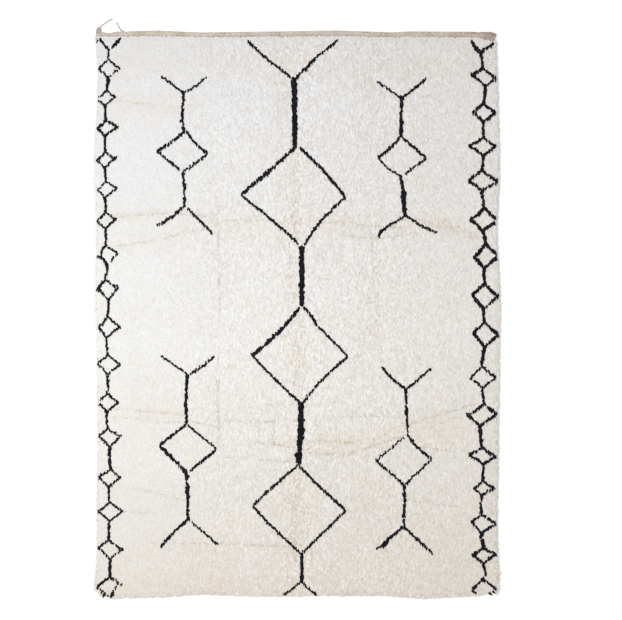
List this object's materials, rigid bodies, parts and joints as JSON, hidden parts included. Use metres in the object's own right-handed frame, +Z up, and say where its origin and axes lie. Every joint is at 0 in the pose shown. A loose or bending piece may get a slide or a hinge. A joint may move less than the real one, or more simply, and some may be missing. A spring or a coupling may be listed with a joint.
{
  "type": "beni ourain rug",
  "caption": "Hand-knotted wool shag rug lying flat: cream pile with thin dark lattice lines of diamonds and a narrow flat-woven beige end.",
  "frame": {"origin": "on the floor under the middle of the whole rug's box, loose yarn ends included", "axes": "+X to the right across the rug, +Y along the rug towards the flat-woven heading, +Z up"},
  "size_m": [2.1252, 3.0212, 0.0259],
  "materials": {
    "cream_wool": "matte hand-spun wool pile, natural cream",
    "flat_weave": "matte flat-woven wool, beige",
    "dark_wool": "matte hand-spun wool pile, natural black"
  },
  "bodies": {
    "root": {"pile_field": "cream_wool", "heading": "flat_weave"}
  },
  "joints": []
}
